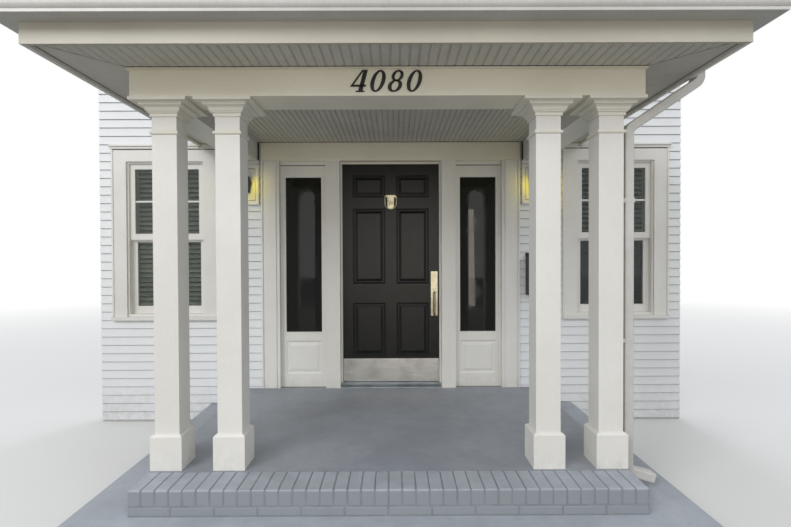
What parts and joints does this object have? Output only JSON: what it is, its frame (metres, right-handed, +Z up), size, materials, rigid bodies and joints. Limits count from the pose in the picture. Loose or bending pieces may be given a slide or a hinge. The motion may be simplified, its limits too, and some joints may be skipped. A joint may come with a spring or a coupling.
{
  "type": "entrance porch with its bay of house wall",
  "caption": "Open entrance porch: hip roof on paired square columns over a brick-edged stoop, with a panelled door between sidelights in a clapboard wall.",
  "frame": {"origin": "on the ground, midway between the columns, in the plane of the house wall's face", "axes": "+X to the right seen from the street, +Y into the house, +Z up"},
  "size_m": [5.3, 2.38, 3.4796],
  "materials": {
    "painted_concrete": "brushed concrete under grey floor paint",
    "painted_brick": "clay brick under grey floor paint",
    "white_paint": "satin white paint on planed boards",
    "beadboard": "grey-white paint on grooved boards",
    "siding": "white paint on lapped boards",
    "gutter_white": "baked white enamel on sheet aluminium",
    "shingles": "mineral granules on felt shingles",
    "flashing": "mill-finished sheet",
    "foundation": "cast concrete",
    "black_paint": "satin black paint on a panelled leaf",
    "steel": "brushed stainless steel",
    "nickel": "polished nickel",
    "glass": "clear glass before an unlit room",
    "lantern_metal": "black powder coat",
    "box_metal": "dark enamel on sheet steel",
    "brass": "brushed brass",
    "threshold": "mill-finished extrusion"
  },
  "bodies": {
    "root": {"lower_step": "painted_concrete", "porch_floor": "painted_concrete", "brick_edging": "painted_brick", "column_bases": "white_paint", "column_outer_left": "white_paint", "column_inner_left": "white_paint", "column_inner_right": "white_paint", "column_outer_right": "white_paint", "capitals": "white_paint", "front_beam": "white_paint", "side_beam_left": "white_paint", "side_beam_right": "white_paint", "porch_ceiling": "beadboard", "soffit_front": "beadboard", "soffit_left": "beadboard", "soffit_right": "beadboard", "fascia_front": "white_paint", "fascia_left": "white_paint", "fascia_right": "white_paint", "gutter_front": "gutter_white", "gutter_left": "gutter_white", "gutter_right": "gutter_white", "downspout_offset": "gutter_white", "downspout_pipe": "gutter_white", "downspout_shoe": "gutter_white", "downspout_straps": "gutter_white", "roof_front": "shingles", "roof_left": "shingles", "roof_right": "shingles", "ridge_caps": "shingles", "wall_flashing": "flashing", "wall_left": "siding", "wall_right": "siding", "wall_above": "siding", "wall_below": "foundation", "pilasters": "white_paint", "header_board": "white_paint", "door_posts": "white_paint", "door_head": "white_paint", "threshold": "threshold", "sidelights": "white_paint", "sidelight_glass": "glass", "frame_hinges": "brass", "window_trim": "white_paint", "window_sashes": "white_paint", "window_glass": "glass", "lantern_blocks": "white_paint", "lanterns": "lantern_metal", "letter_box": "box_metal"},
    "door": {"door_leaf": "black_paint", "kick_plate": "steel", "door_handle": "steel", "knocker_plate": "nickel", "door_hinges": "brass"},
    "knocker": {"knocker_bail": "nickel"}
  },
  "joints": [
    {"name": "door_swing", "type": "hinge", "parent": "root", "child": "door", "pos_m": [-0.4605, 0.138, 0], "axis": [0, 0, 1], "range_deg": [0, 100]},
    {"name": "knocker_swing", "type": "hinge", "parent": "door", "child": "knocker", "pos_m": [0, 0.069, 2.061], "axis": [-1, 0, 0], "range_deg": [0, 55]}
  ]
}
